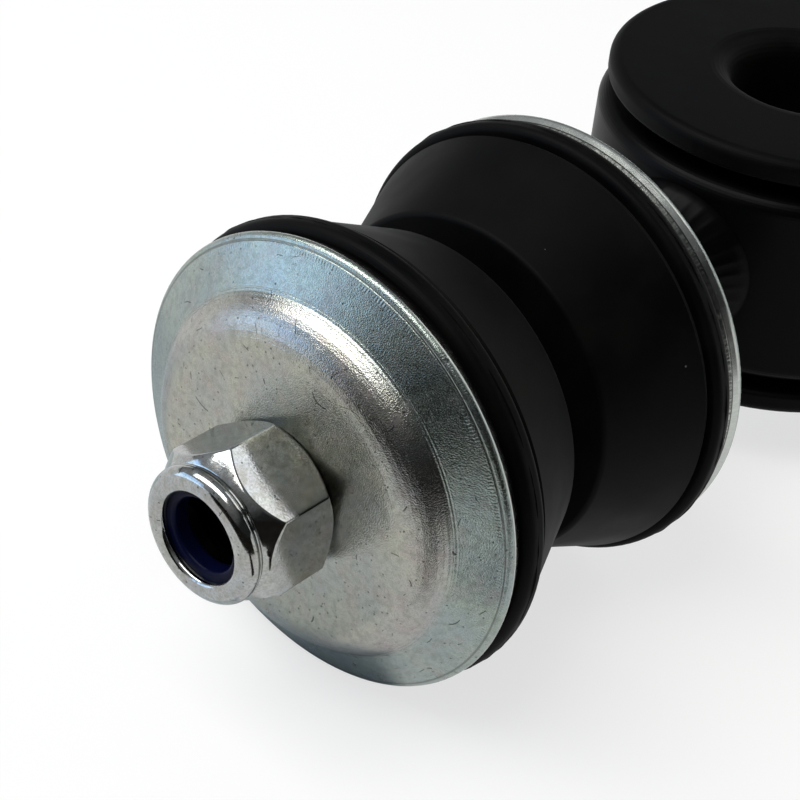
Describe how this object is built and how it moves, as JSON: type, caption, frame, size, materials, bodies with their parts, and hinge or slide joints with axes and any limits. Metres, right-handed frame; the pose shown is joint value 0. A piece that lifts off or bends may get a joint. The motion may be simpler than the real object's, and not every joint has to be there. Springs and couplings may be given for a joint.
{
  "type": "stabilizer link",
  "caption": "Stabilizer link: a rubber-bushed eye on a shouldered rod, with cup washers and conical rubber grommets held on its stud by a nylon-insert lock nut.",
  "frame": {"origin": "centre of the eye bush's bore, halfway along it", "axes": "+Z along the axis of the eye; +X along the rod, from the eye towards the lock nut"},
  "size_m": [0.1399, 0.0558, 0.0558],
  "materials": {
    "painted_steel": "satin black paint",
    "zinc_plate": "bright zinc plating",
    "black_rubber": "moulded, matt",
    "blue_nylon": "moulded"
  },
  "bodies": {
    "link": {"link_rod": "painted_steel", "eye_ring": "painted_steel", "weld_bead": "painted_steel", "eye_bush": "black_rubber"},
    "inner_washer": {"inner_cup_washer": "zinc_plate"},
    "inner_rubber": {"inner_grommet": "black_rubber"},
    "outer_rubber": {"outer_grommet": "black_rubber"},
    "outer_washer": {"outer_cup_washer": "zinc_plate"},
    "nut": {"lock_nut": "zinc_plate", "nylon_insert": "blue_nylon"}
  },
  "joints": [
    {"name": "inner_washer_spin", "type": "hinge", "parent": "link", "child": "inner_washer", "pos_m": [0.048, 0, 0], "axis": [1, 0, 0], "continuous": true},
    {"name": "inner_grommet_spin", "type": "hinge", "parent": "link", "child": "inner_rubber", "pos_m": [0.062, 0, 0], "axis": [1, 0, 0], "continuous": true},
    {"name": "outer_grommet_spin", "type": "hinge", "parent": "link", "child": "outer_rubber", "pos_m": [0.083, 0, 0], "axis": [1, 0, 0], "continuous": true},
    {"name": "washer_slide", "type": "slide", "parent": "link", "child": "outer_washer", "axis": [1, 0, 0], "range_m": [0, 0.00525]},
    {"name": "nut_turn", "type": "hinge", "parent": "outer_washer", "child": "nut", "pos_m": [0.0999, 0, 0], "axis": [1, 0, 0], "range_deg": [0, 1260]}
  ],
  "couplings": [
    {"joint": "nut_turn", "follows": "washer_slide", "rad_per_m": 4188.8}
  ]
}
